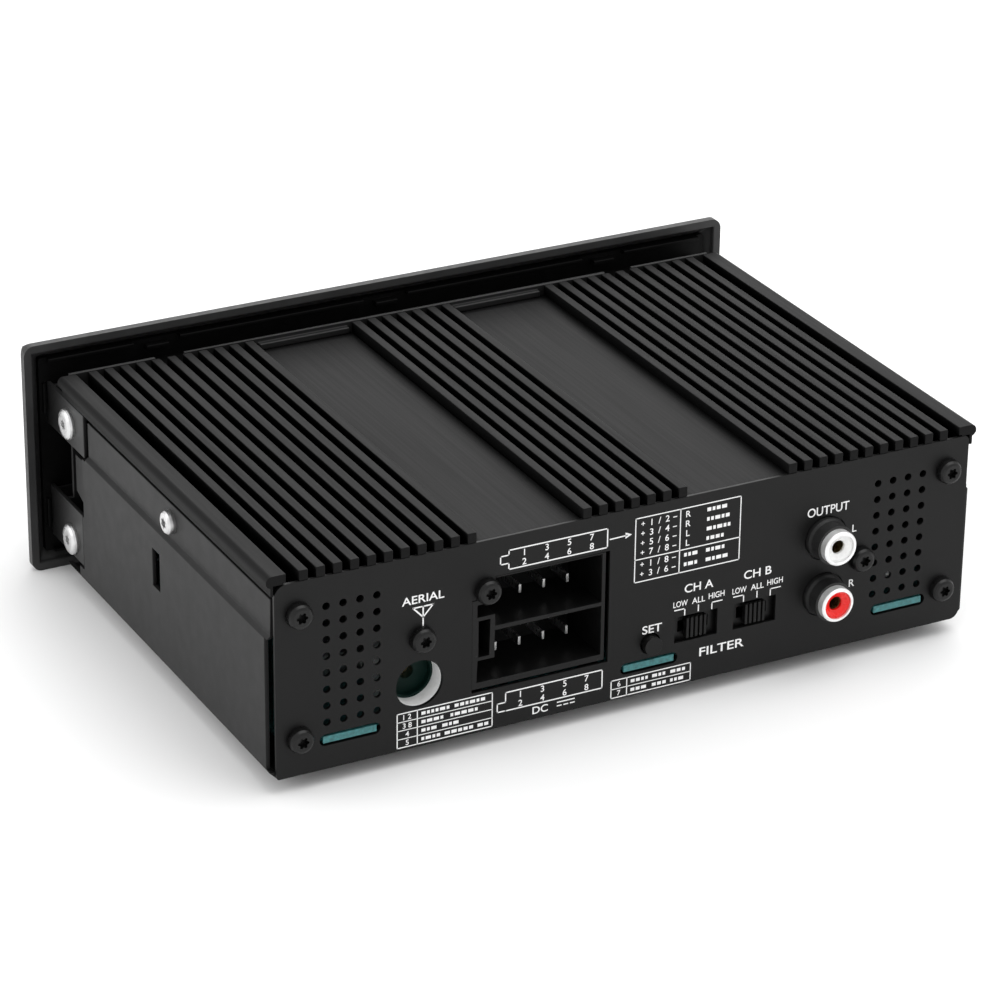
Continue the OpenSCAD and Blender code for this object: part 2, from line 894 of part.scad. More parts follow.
module iso_connector() {
    color([0.06, 0.06, 0.06])
        difference() {
            union() {
                through(0.3, iso_d)
                    box2(iso_x[0], iso_x[1], iso_z[0], 32.4);
                through(0.3, iso_d)
                    box2(iso_x[0], 34.2, 32, iso_z[1]);
                // boss behind the rear panel's tongue
                through(panel_in, iso_d)
                    box2(34, iso_x[1], 32, iso_z[1]);
                // feet on the board
                for (x = [iso_x[0], iso_x[1] - 4])
                    through(3, iso_d)
                        box2(x, x + 4, pcb_top, iso_z[0] + 0.5);
            }
            for (w = [upper_well_z, lower_well_z])
                through(0, well_floor_d)
                    box2(well_x[0], well_x[1], w[0], w[1]);
            // coding recesses at the left, and the hollow post between them
            through(0, 12)
                box2(key_x[0], key_x[1], 28.2, 31.2);
            through(0, 12)
                box2(key_x[0], key_x[1], 12.2, 17.6);
            through(0, 12)
                box2(35.6, 38.4, 18.4, 27.3);
            through(0, 10)
                disc(iso_screw, hole_r);
            // seats of the pins
            for (w = [upper_well_z, lower_well_z], i = [-1.5 : 1 : 1.5], k = [-0.5, 0.5])
                through(well_floor_d - 1, iso_d + 1)
                    translate([(well_x[0] + well_x[1]) / 2 + i * pin_pitch_x,
                               (w[0] + w[1]) / 2 + k * pin_pitch_z])
                        square([0.62, 2.02], center = true);
        }
}

// the upper and the lower well's pins stand at different depths behind the housing,
// so that their tails pass each other
module speaker_pins() {
    mid_x = (well_x[0] + well_x[1]) / 2;
    mid_z = (upper_well_z[0] + upper_well_z[1]) / 2;
    color([0.8, 0.8, 0.8])
        pin_set(mid_x, mid_z, 4.4);
}

module power_pins() {
    mid_x = (well_x[0] + well_x[1]) / 2;
    mid_z = (lower_well_z[0] + lower_well_z[1]) / 2;
    color([0.8, 0.8, 0.8])
        pin_set(mid_x, mid_z, 0.6);
}

module pin_set(mid_x, mid_z, reach) {
    for (i = [-1.5 : 1 : 1.5], k = [0, 1]) {
        x = mid_x + i * pin_pitch_x;
        z = mid_z + (k - 0.5) * pin_pitch_z;
        tail = iso_d + reach + k * 1.9;
        through(pin_tip_d, tail + 0.8)
            translate([x, z])
                square([0.6, 2], center = true);
        through(tail, tail + 0.8)
            box2(x - 0.3, x + 0.3, pcb_top, z + 1);
    }
}

module rca_housing() {
    color([0.08, 0.08, 0.08])
        difference() {
            union() {
                through(panel_in, 12)
                    round_rect(rca_x, (rca_z[0] + rca_z[1]) / 2, 12, 27, 0.8);
                through(panel_in, 12)
                    box2(rca_x - 5, rca_x + 5, pcb_top, 9);
                // ear for the screw beside the sockets
                through(panel_in, 6)
                    round_rect(rca_x - 7.2, rca_screw[1], 9.6, 8, 1);
                for (z = rca_z) {
                    through(-0.7, panel_in + 0.1)
                        disc([rca_x, z], 5.1);
                    translate([rca_x, y_rear + 0.7, bezel_drop + z])
                        rotate([-90, 0, 0])
                            cylinder(h = 0.8, r1 = 5.1, r2 = 4.75);
                    through(-4.5, 0)
                        disc([rca_x, z], 4.75);
                }
            }
            for (z = rca_z)
                through(-6, 10)
                    disc([rca_x, z], jack_seat_r);
            through(0, 8)
                disc(rca_screw, hole_r);
        }
}

module rca_shells() {
    color([0.85, 0.85, 0.85])
        for (z = rca_z)
            difference() {
                union() {
                    through(0.3 - jack_out, -4.5)
                        disc([rca_x, z], jack_r);
                    translate([rca_x, y_rear + jack_out - 0.31, bezel_drop + z])
                        rotate([-90, 0, 0])
                            cylinder(h = 0.31, r1 = jack_r, r2 = jack_r - 0.3);
                    through(-4.6, 10)
                        disc([rca_x, z], jack_seat_r);
                }
                through(-jack_out - 1, 11)
                    disc([rca_x, z], 3.4);
            }
}

module rca_insert(z) {
    difference() {
        through(-jack_out + 0.5, 10)
            disc([rca_x, z], 3.4);
        through(-jack_out, 11)
            disc([rca_x, z], 1.65);
        through(-jack_out + 2, 11)
            disc([rca_x, z], 2.2);
        // dished mouth
        translate([rca_x, y_rear + jack_out - 1.3, bezel_drop + z])
            rotate([-90, 0, 0])
                cylinder(h = 0.81, r1 = 1.65, r2 = 2.8);
    }
}

module rca_left_insert() {
    color([0.95, 0.95, 0.95])
        rca_insert(rca_z[0]);
}

module rca_right_insert() {
    color([0.9, 0.1, 0.08])
        rca_insert(rca_z[1]);
}

module rca_contacts() {
    color([0.8, 0.75, 0.6])
        for (z = rca_z)
            through(-jack_out + 2, 10)
                difference() {
                    disc([rca_x, z], 2.2);
                    disc([rca_x, z], 1.65);
                }
}

module aerial_socket() {
    color([0.85, 0.85, 0.85])
        difference() {
            union() {
                through(panel_in, 16)
                    disc(aerial_at, aerial_r + 1);
                // saddle down to the board and up to its screw
                through(panel_in, 8)
                    round_rect(aerial_at[0], aerial_screw[1] - 1.5, 8, 9, 1);
                through(panel_in, 14)
                    box2(aerial_at[0] - 5.5, aerial_at[0] + 5.5, pcb_top, 12);
            }
            through(0, 17)
                disc(aerial_at, aerial_r);
            through(aerial_step_d, 17)
                disc(aerial_at, insulator_r + 0.02);
            through(0, 9)
                disc(aerial_screw, hole_r);
        }
}

module aerial_insulator() {
    color([0.03, 0.14, 0.11])
        difference() {
            through(aerial_step_d, 15)
                disc(aerial_at, insulator_r);
            through(aerial_step_d - cut, aerial_step_d + 1.7)
                disc(aerial_at, aerial_r - 0.6);
            through(4, 16)
                disc(aerial_at, 1.7);
        }
}

module aerial_contact() {
    color([0.8, 0.65, 0.3])
        through(9, 18)
            difference() {
                disc(aerial_at, 1.68);
                disc(aerial_at, 1.1);
            }
}

module sync_switch() {
    color([0.15, 0.15, 0.15])
        difference() {
            union() {
                through(2.4, 7)
                    round_rect(sync_at[0], sync_at[1], 7, 7, 0.4);
                through(3, 7)
                    box2(sync_at[0] - 3, sync_at[0] + 3, pcb_top, sync_at[1]);
            }
            through(2, 5.6)
                disc(sync_at, 1.9);
        }
}

module sync_button() {
    color([0.08, 0.08, 0.08]) {
        through(-1.7, 1.4)
            disc(sync_at, sync_r);
        through(1.3, 4.6)
            disc(sync_at, 1.5);
    }
}

module cross_switch(at) {
    difference() {
        union() {
            through(1.6, 7.6)
                translate(at)
                    square([14.4, 8], center = true);
            through(2.4, 7.6)
                box2(at[0] - 6, at[0] + 6, pcb_top, at[1]);
        }
        // slot that the knob's stem runs in
        through(1, 6)
            translate(at)
                square([3 + 2 * cross_travel + 0.8, 2.8], center = true);
    }
}

module cross_knob(at) {
    w = 5.1;
    difference() {
        through(-0.2, 1.2)
            translate(at)
                square([w, 4.9], center = true);
        // grip grooves
        for (i = [-1.5 : 1 : 1.5])
            through(-1, 0.5)
                translate([at[0] + i * 1.15, at[1]])
                    square([0.5, 6], center = true);
    }
    through(1.1, 5.2)
        translate(at)
            square([3, 2], center = true);
}

module front_crossover_switch() {
    color([0.1, 0.1, 0.1])
        cross_switch(front_cross_at);
}

module front_crossover_knob() {
    color([0.12, 0.12, 0.12])
        cross_knob(front_cross_at);
}

module rear_crossover_switch() {
    color([0.1, 0.1, 0.1])
        cross_switch(rear_cross_at);
}

module rear_crossover_knob() {
    color([0.12, 0.12, 0.12])
        cross_knob(rear_cross_at);
}

// ---- power stage and modules ----

module amplifier_chip() {
    d = chip_leg_d[1] + 0.5;
    color([0.12, 0.12, 0.12])
        union() {
            through(d, d + 4.5)
                round_rect(0, 21, 30, 17, 0.6);
            for (i = [-12 : 12])
                through(d + 1.6, d + 2.1)
                    box2(i * 1.1 - 0.3, i * 1.1 + 0.3, pcb_top, 13);
        }
}

module thermal_pad() {
    color([0.75, 0.78, 0.82])
        through(chip_leg_d[1], chip_leg_d[1] + 0.5)
            box2(-15.5, 15.5, 12.3, 29.8);
}

module chip_clamp() {
    d = chip_leg_d[1];
    color([0.7, 0.7, 0.7])
        difference() {
            union() {
                through(d + 5, d + 6.2)
                    round_rect(0, 21, 44, 8, 1);
                for (x = [-19, 19])
                    through(d, d + 5.1)
                        round_rect(x, 21, 6, 6, 0.8);
            }
            for (x = [-19, 19])
                through(d - 1, d + 8)
                    disc([x, 21], hole_r);
        }
}

module clamp_screws() {
    color([0.7, 0.7, 0.7])
        for (x = [-19, 19])
            translate([x, y_rear - chip_leg_d[1] - 6.2, bezel_drop + 21])
                rotate([90, 0, 0])
                    screw(2.75, 2, screw_r, 12, 1.2);
}

module can(x, d, r, h) {
    upward(pcb_top, pcb_top + h - 0.8)
        disc([x, d], r);
    upward(pcb_top + h - 0.9, pcb_top + h)
        disc([x, d], r - 0.6);
}

module main_capacitors() {
    color([0.1, 0.12, 0.3])
        for (x = [38, 58])
            can(x, 84, 8, 26);
}

module small_capacitors() {
    color([0.1, 0.12, 0.3])
        for (i = [0 : 5])
            can(-70 + i * 10, 86, 3.6, 12);
}

module choke_core() {
    color([0.25, 0.25, 0.27])
        translate([66, y_rear - 58, bezel_drop + pcb_top]) {
            cylinder(h = 1.6, r = 10);
            cylinder(h = 15, r = 4.5);
            translate([0, 0, 13.4])
                cylinder(h = 1.6, r = 10);
        }
}

module choke_winding() {
    color([0.72, 0.4, 0.2])
        translate([66, y_rear - 58, bezel_drop + pcb_top + 1.6])
            difference() {
                cylinder(h = 11.8, r = 8.8);
                translate([0, 0, -1])
                    cylinder(h = 14, r = 4.5);
            }
}

module voltage_regulator() {
    color([0.15, 0.15, 0.15]) {
        through(66, 70.4)
            box2(-42, -31.8, 12, 21);
        through(68.9, 70.2)
            box2(-42, -31.8, 20.9, 27);
        for (i = [-1 : 1])
            through(67.6, 68.2)
                box2(-36.9 + i * 2.54 - 0.4, -36.9 + i * 2.54 + 0.4, pcb_top, 12.1);
    }
}

module tuner_module() {
    color([0.75, 0.75, 0.75])
        upward(pcb_top, pcb_top + 7)
            box2(42, 68, 22, 40);
}

module bluetooth_module() {
    color([0.1, 0.3, 0.5]) {
        upward(pcb_top, pcb_top + 1)
            box2(-70, -54, 28, 50);
        upward(pcb_top + 0.9, pcb_top + 3)
            box2(-69, -55, 36, 49);
    }
}

module control_chips() {
    color([0.1, 0.1, 0.1]) {
        upward(pcb_top, pcb_top + 1.6)
            box2(-24, -10, 26, 40);
        upward(pcb_top, pcb_top + 1.6)
            box2(2, 12, 28, 38);
        upward(pcb_top, pcb_top + 1.4)
            box2(-46, -38, 28, 34);
    }
}

// ---- fasteners ----

module rear_screw(at, length) {
    translate([at[0], y_rear, bezel_drop + at[1]])
        rotate([-90, 0, 0])
            screw(3.0, 2.3, screw_r, length, 1.35);
}

module rear_screws() {
    color([0.08, 0.08, 0.08])
        for (at = concat(corner_screws, [aerial_screw, rca_screw]))
            rear_screw(at, 5.5);
    color([0.08, 0.08, 0.08])
        rear_screw(iso_screw, 8);
}

module side_screws() {
    color([0.75, 0.75, 0.75])
        both_sides()
            translate([upper_wall_x, y_rear - side_screw_at[0], bezel_drop + side_screw_at[1]])
                rotate([0, 90, 0])
                    screw(2.8, 1.9, screw_r, 6, 1.3);
}

module tab_screws() {
    color([0.8, 0.8, 0.8])
        both_sides()
            for (z = tab_screw_z) {
                translate([tab_x + sheet, y_rear - tab_screw_d, bezel_drop + z])
                    rotate([0, 90, 0])
                        screw(3.8, 1.4, tab_screw_r, 5, 1.3);
                translate([frame_ear_x, y_rear - body_d - back_f + sheet, bezel_drop + z])
                    rotate([-90, 0, 0])
                        screw(2.3, 1.4, screw_r, 3.2, 1.0);
            }
}

module board_screws() {
    color([0.75, 0.75, 0.75])
        for (x = [-post_x, post_x], d = post_d)
            translate([x, y_rear - d, bezel_drop + pcb_top])
                screw(2.75, 1.6, 1.4, 6, 1.2);
}

chassis_tray();
heatsink();
rear_panel();
front_frame();
bezel();
fascia_back();
faceplate();
display_lens();
display_module();
front_board();
front_header();
front_switches();
front_board_screws();
volume_knob();
encoder_shaft();
encoder_rotor();
encoder_housing();
power_button();
source_button();
menu_button();
previous_button();
play_button();
next_button();
back_button();
flat_cable();
board_header();
main_board();
iso_connector();
speaker_pins();
power_pins();
rca_housing();
rca_shells();
rca_left_insert();
rca_right_insert();
rca_contacts();
aerial_socket();
aerial_insulator();
aerial_contact();
sync_switch();
sync_button();
front_crossover_switch();
front_crossover_knob();
rear_crossover_switch();
rear_crossover_knob();
amplifier_chip();
thermal_pad();
chip_clamp();
main_capacitors();
small_capacitors();
choke_core();
choke_winding();
voltage_regulator();
tuner_module();
bluetooth_module();
control_chips();
rear_screws();
side_screws();
tab_screws();
board_screws();
clamp_screws();
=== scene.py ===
"""Looks of the car amplifier: rounded copies of the visible casings, printed marks and materials."""

import json
import math
import random

import bmesh
import bpy
from mathutils import Matrix, Vector


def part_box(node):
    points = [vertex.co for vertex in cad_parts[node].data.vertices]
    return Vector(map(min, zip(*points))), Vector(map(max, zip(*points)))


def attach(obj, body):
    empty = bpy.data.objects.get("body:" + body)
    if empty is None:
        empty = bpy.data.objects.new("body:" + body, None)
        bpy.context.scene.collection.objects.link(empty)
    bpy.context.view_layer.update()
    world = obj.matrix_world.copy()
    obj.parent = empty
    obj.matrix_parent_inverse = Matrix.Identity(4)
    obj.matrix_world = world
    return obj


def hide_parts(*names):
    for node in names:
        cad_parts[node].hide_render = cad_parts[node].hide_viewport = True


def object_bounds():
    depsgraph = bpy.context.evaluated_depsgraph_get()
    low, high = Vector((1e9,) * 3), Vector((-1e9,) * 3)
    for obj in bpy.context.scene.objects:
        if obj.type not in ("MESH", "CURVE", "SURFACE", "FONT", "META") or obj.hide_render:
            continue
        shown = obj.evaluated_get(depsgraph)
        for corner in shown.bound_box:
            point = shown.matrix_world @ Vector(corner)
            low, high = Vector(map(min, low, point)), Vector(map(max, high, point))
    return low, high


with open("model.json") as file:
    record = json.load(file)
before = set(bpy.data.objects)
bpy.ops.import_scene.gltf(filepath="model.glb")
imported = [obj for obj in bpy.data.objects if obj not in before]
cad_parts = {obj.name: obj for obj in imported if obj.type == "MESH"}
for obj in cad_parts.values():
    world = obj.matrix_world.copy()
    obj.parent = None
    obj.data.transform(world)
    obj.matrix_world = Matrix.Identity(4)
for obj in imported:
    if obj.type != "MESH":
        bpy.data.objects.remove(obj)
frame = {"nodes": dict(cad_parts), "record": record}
cad_low, cad_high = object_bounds()

MM = 0.001
REAR_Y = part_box("rear_panel")[1].y      # outer face of the rear panel
BASE_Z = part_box("chassis_tray")[0].z    # underside of the tray
PRINT_LIFT = 0.02 * MM                  # how far printed ink stands off its surface
random.seed(7)


def at(x, d, z):
    """A point given in millimetres: across, forward of the rear panel, above the tray's underside."""
    return Vector((x * MM, REAR_Y - d * MM, BASE_Z + z * MM))


# ---- camera ----

CAMERA_AT = (406.1, -706.4, 435.7)      # millimetres: across, forward of the rear panel, up
CAMERA_LENS = 148.2


def make_camera():
    """Looks down at the rear panel and the +X side."""
    heading = math.radians(27.8)
    elevation = math.radians(25.45)
    roll = math.radians(0.67)
    forward = Vector((
        -math.sin(heading) * math.cos(elevation),
        -math.cos(heading) * math.cos(elevation),
        -math.sin(elevation),
    ))
    level = forward.cross(Vector((0, 0, 1))).normalized()
    lift = level.cross(forward)
    right = level * math.cos(roll) + lift * math.sin(roll)
    up = lift * math.cos(roll) - level * math.sin(roll)
    data = bpy.data.cameras.new("camera")
    data.sensor_width = 36
    data.lens = CAMERA_LENS
    data.clip_start = 0.05
    data.clip_end = 30
    camera = bpy.data.objects.new("camera", data)
    bpy.context.scene.collection.objects.link(camera)
    camera.matrix_world = Matrix.Translation(at(*CAMERA_AT)) @ (
        Matrix((right, up, -forward)).transposed().to_4x4()
    )
    bpy.context.scene.camera = camera


make_camera()


# ---- materials ----

class Paint:
    """Builds one procedural material. Textures are in millimetres on the object."""

    def __init__(self, name, color, roughness, metallic=0.0, specular=0.5, coat=0.0):
        self.material = bpy.data.materials.new(name)
        self.material.use_nodes = True
        self.tree = self.material.node_tree
        self.shader = self.tree.nodes["Principled BSDF"]
        self.color = color
        self.set("Base Color", (*color, 1))
        self.set("Roughness", roughness)
        self.set("Metallic", metallic)
        self.set("Specular IOR Level", specular)
        self.set("Coat Weight", coat)
        self.normal = None
        place = self.tree.nodes.new("ShaderNodeTexCoord")
        self.place = place.outputs["Object"]

    def set(self, socket, value):
        self.shader.inputs[socket].default_value = value

    def link(self, a, b):
        self.tree.links.new(a, b)

    def coords(self, per_mm):
        """Object coordinates scaled so that the texture repeats per_mm times a millimetre on each axis."""
        node = self.tree.nodes.new("ShaderNodeMapping")
        node.inputs["Scale"].default_value = [1 / MM * s for s in per_mm]
        self.link(self.place, node.inputs["Vector"])
        return node.outputs["Vector"]

    def noise(self, per_mm, detail=3.0, rough=0.5):
        node = self.tree.nodes.new("ShaderNodeTexNoise")
        node.inputs["Scale"].default_value = 1
        node.inputs["Detail"].default_value = detail
        node.inputs["Roughness"].default_value = rough
        self.link(self.coords(per_mm), node.inputs["Vector"])
        return node.outputs["Fac"]

    def ramp(self, fac, low, high, start=0.3, end=0.7):
        node = self.tree.nodes.new("ShaderNodeMapRange")
        node.inputs["From Min"].default_value = start
        node.inputs["From Max"].default_value = end
        node.inputs["To Min"].default_value = low
        node.inputs["To Max"].default_value = high
        self.link(fac, node.inputs["Value"])
        return node.outputs["Result"]

    def mottle(self, per_mm, amount, detail=3.0):
        """Varies the base colour by the given share."""
        fac = self.ramp(self.noise(per_mm, detail), 0, 1)
        mix = self.tree.nodes.new("ShaderNodeMix")
        mix.data_type = "RGBA"
        low = [c * (1 - amount) for c in self.color]
        high = [min(1, c * (1 + amount)) for c in self.color]
        mix.inputs["A"].default_value = (*low, 1)
        mix.inputs["B"].default_value = (*high, 1)
        self.link(fac, mix.inputs["Factor"])
        self.link(mix.outputs["Result"], self.shader.inputs["Base Color"])
        return self

    def gloss(self, per_mm, low, high, detail=3.0):
        """Varies the roughness between two values."""
        self.link(self.ramp(self.noise(per_mm, detail), low, high), self.shader.inputs["Roughness"])
        return self

    def bump(self, height, depth_mm, strength=1.0):
        node = self.tree.nodes.new("ShaderNodeBump")
        node.inputs["Distance"].default_value = depth_mm * MM
        node.inputs["Strength"].default_value = strength
        self.link(height, node.inputs["Height"])
        if self.normal is not None:
            self.link(self.normal, node.inputs["Normal"])
        self.normal = node.outputs["Normal"]
        self.link(self.normal, self.shader.inputs["Normal"])
        return self

    def grain(self, per_mm, depth_mm, detail=2.0):
        return self.bump(self.noise(per_mm, detail), depth_mm)

    def soften(self, radius_mm):
        """Rounds the edges that a CAD piece shows, in the shading only."""
        node = self.tree.nodes.new("ShaderNodeBevel")
        node.samples = 4
        node.inputs["Radius"].default_value = radius_mm * MM
        self.normal = node.outputs["Normal"]
        self.link(self.normal, self.shader.inputs["Normal"])
        return self

    def painted_groove_shade(self, reach_mm, specular):
        """Painted shade: darkens the base colour and its specular sheen towards near black where nearby
        walls close the surface in.
        """
        near = self.tree.nodes.new("ShaderNodeAmbientOcclusion")
        near.samples = 6
        near.inputs["Distance"].default_value = reach_mm * MM
        opened = self.ramp(near.outputs["AO"], 0.02, 1, 0.45, 0.85)
        mix = self.tree.nodes.new("ShaderNodeMix")
        mix.data_type = "RGBA"
        # near-black colour painted into the enclosed grooves as shade
        mix.inputs["A"].default_value = (0.0005, 0.0005, 0.0005, 1)
        self.link(self.shader.inputs["Base Color"].links[0].from_socket, mix.inputs["B"])
        self.link(opened, mix.inputs["Factor"])
        self.link(mix.outputs["Result"], self.shader.inputs["Base Color"])
        self.link(self.ramp(opened, 0, specular, 0, 1), self.shader.inputs["Specular IOR Level"])
        return self

    def waves(self, per_mm, axis, profile="SIN"):
        node = self.tree.nodes.new("ShaderNodeTexWave")
        node.bands_direction = axis
        node.wave_profile = profile
        node.inputs["Scale"].default_value = per_mm
        self.link(self.coords((1, 1, 1)), node.inputs["Vector"])
        return node.outputs["Fac"]


def cube3(s):
    return (s, s, s)


def powder_coat(name, color, roughness, specular=0.3):
    """Satin paint on sheet steel: a fine pebbled skin with faint cloudiness."""
    p = Paint(name, color, roughness, specular=specular)
    p.mottle(cube3(0.06), 0.06)
    p.gloss(cube3(0.25), roughness - 0.02, roughness + 0.03)
    p.grain(cube3(6), 0.008)
    p.grain(cube3(1.6), 0.004)
    return p.material


def anodised(name, color, roughness):
    """Black anodised extrusion: faint die lines along its length, and painted shade that keeps the grooves
    between the fins black.
    """
    p = Paint(name, color, roughness, specular=0.065)
    p.mottle((0.9, 0.012, 0.9), 0.08)
    # painted shade: the gaps between the fins darkened to near black
    p.painted_groove_shade(6, 0.08)
    p.gloss((1.5, 0.02, 1.5), roughness - 0.03, roughness + 0.04)
    p.grain((5, 0.05, 5), 0.005)
    p.grain(cube3(7), 0.008)
    return p.material


def moulded(name, color, roughness, specular=0.4, grain_mm=0.012, soft=0.12):
    """Injection-moulded plastic with a fine spark-eroded grain."""
    p = Paint(name, color, roughness, specular=specular)
    if soft:
        p.soften(soft)
    p.mottle(cube3(0.15), 0.15)
    p.gloss(cube3(0.5), roughness - 0.05, roughness + 0.07)
    p.grain(cube3(4.5), grain_mm)
    return p.material


def translucent(name, color, roughness):
    """Pale moulding that light soaks into a little."""
    p = Paint(name, color, roughness, specular=0.45)
    p.soften(0.15)
    p.set("Subsurface Weight", 0.5)
    p.set("Subsurface Radius", (1.0, 1.0, 1.0))
    p.set("Subsurface Scale", 2.5 * MM)
    p.mottle(cube3(0.6), 0.05)
    p.gloss(cube3(0.8), roughness - 0.05, roughness + 0.08)
    p.grain(cube3(4), 0.003)
    return p.material


def plated(name, color, roughness, soft=0.12):
    """Plated metal with fine handling marks."""
    p = Paint(name, color, roughness, metallic=1.0)
    if soft:
        p.soften(soft)
    p.mottle(cube3(0.5), 0.08)
    p.gloss((2.5, 2.5, 0.7), roughness - 0.06, roughness + 0.1)
    p.grain((9, 3, 9), 0.004)
    return p.material


def board_laminate(name, color):
    """Solder mask over woven glass."""
    p = Paint(name, color, 0.35, specular=0.5)
    p.mottle(cube3(1.2), 0.35)
    p.gloss(cube3(0.8), 0.28, 0.5)
    p.bump(p.waves(1.3, "X"), 0.02, 0.5)
    p.bump(p.waves(1.3, "Y"), 0.02, 0.5)
    p.grain(cube3(3), 0.02)
    return p.material


def shrink_sleeve(name, color):
    """Capacitor sleeve: glossy film with faint drawn folds."""
    p = Paint(name, color, 0.25, coat=0.4)
    p.soften(0.3)
    p.mottle((0.3, 0.3, 0.05), 0.2)
    p.grain((1.2, 1.2, 0.2), 0.03)
    return p.material


def wound_copper(name, color):
    """Close turns of enamelled wire."""
    p = Paint(name, color, 0.3, metallic=0.9)
    p.mottle(cube3(0.6), 0.2)
    p.bump(p.waves(0.28, "Z"), 0.25)
    return p.material


def lens_plastic(name, color):
    """Dark clear window with faint wipe marks."""
    p = Paint(name, color, 0.08, specular=0.25, coat=0.15)
    p.mottle(cube3(0.05), 0.2)
    p.gloss((0.2, 0.2, 0.6), 0.05, 0.14)
    p.grain(cube3(0.4), 0.004)
    return p.material


def cell_glass(name, color):
    """Display cell: dark glass with a faint dot grid."""
    p = Paint(name, color, 0.2, specular=0.5)
    p.mottle(cube3(0.2), 0.2)
    p.bump(p.waves(0.5, "X"), 0.02, 0.6)
    p.bump(p.waves(0.5, "Z"), 0.02, 0.6)
    return p.material


def turned_metal(name, color, roughness, metallic):
    """Bright satin-plated barrel with fine turned rings along its axis."""
    p = Paint(name, color, roughness, metallic=metallic)
    p.soften(0.1)
    p.mottle(cube3(0.6), 0.1)
    p.gloss((0.8, 3, 0.8), roughness - 0.05, roughness + 0.1)
    p.bump(p.waves(1.6, "Y"), 0.004, 0.5)
    return p.material


def ink(name, color):
    """Screen-printed ink with slightly uneven cover."""
    p = Paint(name, color, 0.55, specular=0.3)
    p.mottle(cube3(1.5), 0.06)
    p.gloss(cube3(2), 0.45, 0.65)
    p.grain(cube3(6), 0.01)
    return p.material


def silicone(name, color):
    p = Paint(name, color, 0.7, specular=0.3)
    p.mottle(cube3(0.7), 0.1)
    p.grain(cube3(3), 0.03)
    return p.material


MATERIALS = {
    "black_panel": powder_coat("black_panel", (0.0045, 0.0045, 0.0045), 0.42, 0.2),
    "tray_steel": powder_coat("tray_steel", (0.0095, 0.0095, 0.0096), 0.5, 0.25),
    "frame_steel": powder_coat("frame_steel", (0.009, 0.009, 0.0091), 0.42, 0.3),
    "heatsink_alloy": anodised("heatsink_alloy", (0.0062, 0.0062, 0.0063), 0.5),
    "bezel_plastic": moulded("bezel_plastic", (0.025, 0.025, 0.0252), 0.5, 0.35, soft=0),
    "fascia_plastic": moulded("fascia_plastic", (0.005, 0.005, 0.0052), 0.38, soft=0.15),
    "lens": lens_plastic("lens", (0.003, 0.004, 0.005)),
    "display": cell_glass("display", (0.02, 0.026, 0.03)),
    "black_nylon": moulded("black_nylon", (0.004, 0.004, 0.004), 0.36, 0.22),
    "white_plastic": translucent("white_plastic", (0.9, 0.9, 0.89), 0.25),
    "red_plastic": translucent("red_plastic", (0.85, 0.012, 0.008), 0.25),
    "nickel": turned_metal("nickel", (0.93, 0.93, 0.92), 0.42, 0.7),
    "bright_screw": plated("bright_screw", (0.66, 0.66, 0.66), 0.32),
    "black_screw": moulded("black_screw", (0.004, 0.004, 0.004), 0.3, 0.28, 0.01),
    "tin": plated("tin", (0.8, 0.8, 0.79), 0.3),
    "contact_brass": plated("contact_brass", (0.62, 0.5, 0.28), 0.3),
    "green_insulator": moulded("green_insulator", (0.001, 0.012, 0.009), 0.5, 0.15),
    "board_laminate": board_laminate("board_laminate", (0.03, 0.15, 0.155)),
    "capacitor_sleeve": shrink_sleeve("capacitor_sleeve", (0.012, 0.016, 0.07)),
    "copper_wire": wound_copper("copper_wire", (0.6, 0.24, 0.09)),
    "ferrite": moulded("ferrite", (0.03, 0.03, 0.032), 0.55, 0.4, 0.03),
    "silicone_pad": silicone("silicone_pad", (0.3, 0.33, 0.37)),
    "shield_can": plated("shield_can", (0.66, 0.66, 0.65), 0.35),
    "cable_sleeve": moulded("cable_sleeve", (0.62, 0.62, 0.6), 0.35, 0.5, 0.01),
    "header_nylon": moulded("header_nylon", (0.68, 0.64, 0.52), 0.4, 0.4, 0.02),
    "chip_resin": moulded("chip_resin", (0.012, 0.012, 0.012), 0.55, 0.4, 0.03),
}
# Painted reflection: the aerial barrel's plating is given a near-white diffuse colour and little metal, so
# it shows bright where the plating would reflect.
SOCKET_PAINTED_SHEEN = turned_metal("socket_painted_sheen", (0.98, 0.98, 0.97), 0.35, 0.1)
BOSS_BLACK = moulded("boss_black", (0.013, 0.013, 0.013), 0.5, 0.4, 0.02)
# Painted shade: a near-black colour, darker than the fascia's own plastic, for the shade in the recess
# behind the bezel.
RECESS_PAINTED_SHADE = moulded("recess_painted_shade", (0.0012, 0.0012, 0.0012), 0.5, 0.1, soft=0)
WHITE_INK = ink("white_ink", (0.82, 0.82, 0.82))
KEY_INK = ink("key_ink", (0.6, 0.6, 0.6))
GHOST_INK = ink("ghost_ink", (0.035, 0.04, 0.042))

SLOT_OF = {row["node"]: row["material_slot"] for row in frame["record"]["subparts"]}
BODY_OF = {name: body for body, names in frame["record"]["behaviour"]["bodies"].items() for name in names}
for node_name, obj in frame["nodes"].items():
    obj.data.materials.clear()
    obj.data.materials.append(MATERIALS[SLOT_OF[node_name]])


# the aerial barrel takes the painted-reflection white
frame["nodes"]["aerial_socket"].data.materials[0] = SOCKET_PAINTED_SHEEN
frame["nodes"]["rca_housing"].data.materials[0] = BOSS_BLACK


# ---- rounded casings ----

def shade(obj, angle=50):
    """Smooth shading between faces that meet at less than the angle, evened by face size."""
    for poly in obj.data.polygons:
        poly.use_smooth = True
    obj.data.set_sharp_from_angle(angle=math.radians(angle))
    even = obj.modifiers.new("even_shading", "WEIGHTED_NORMAL")
    even.keep_sharp = True
    even.weight = 100


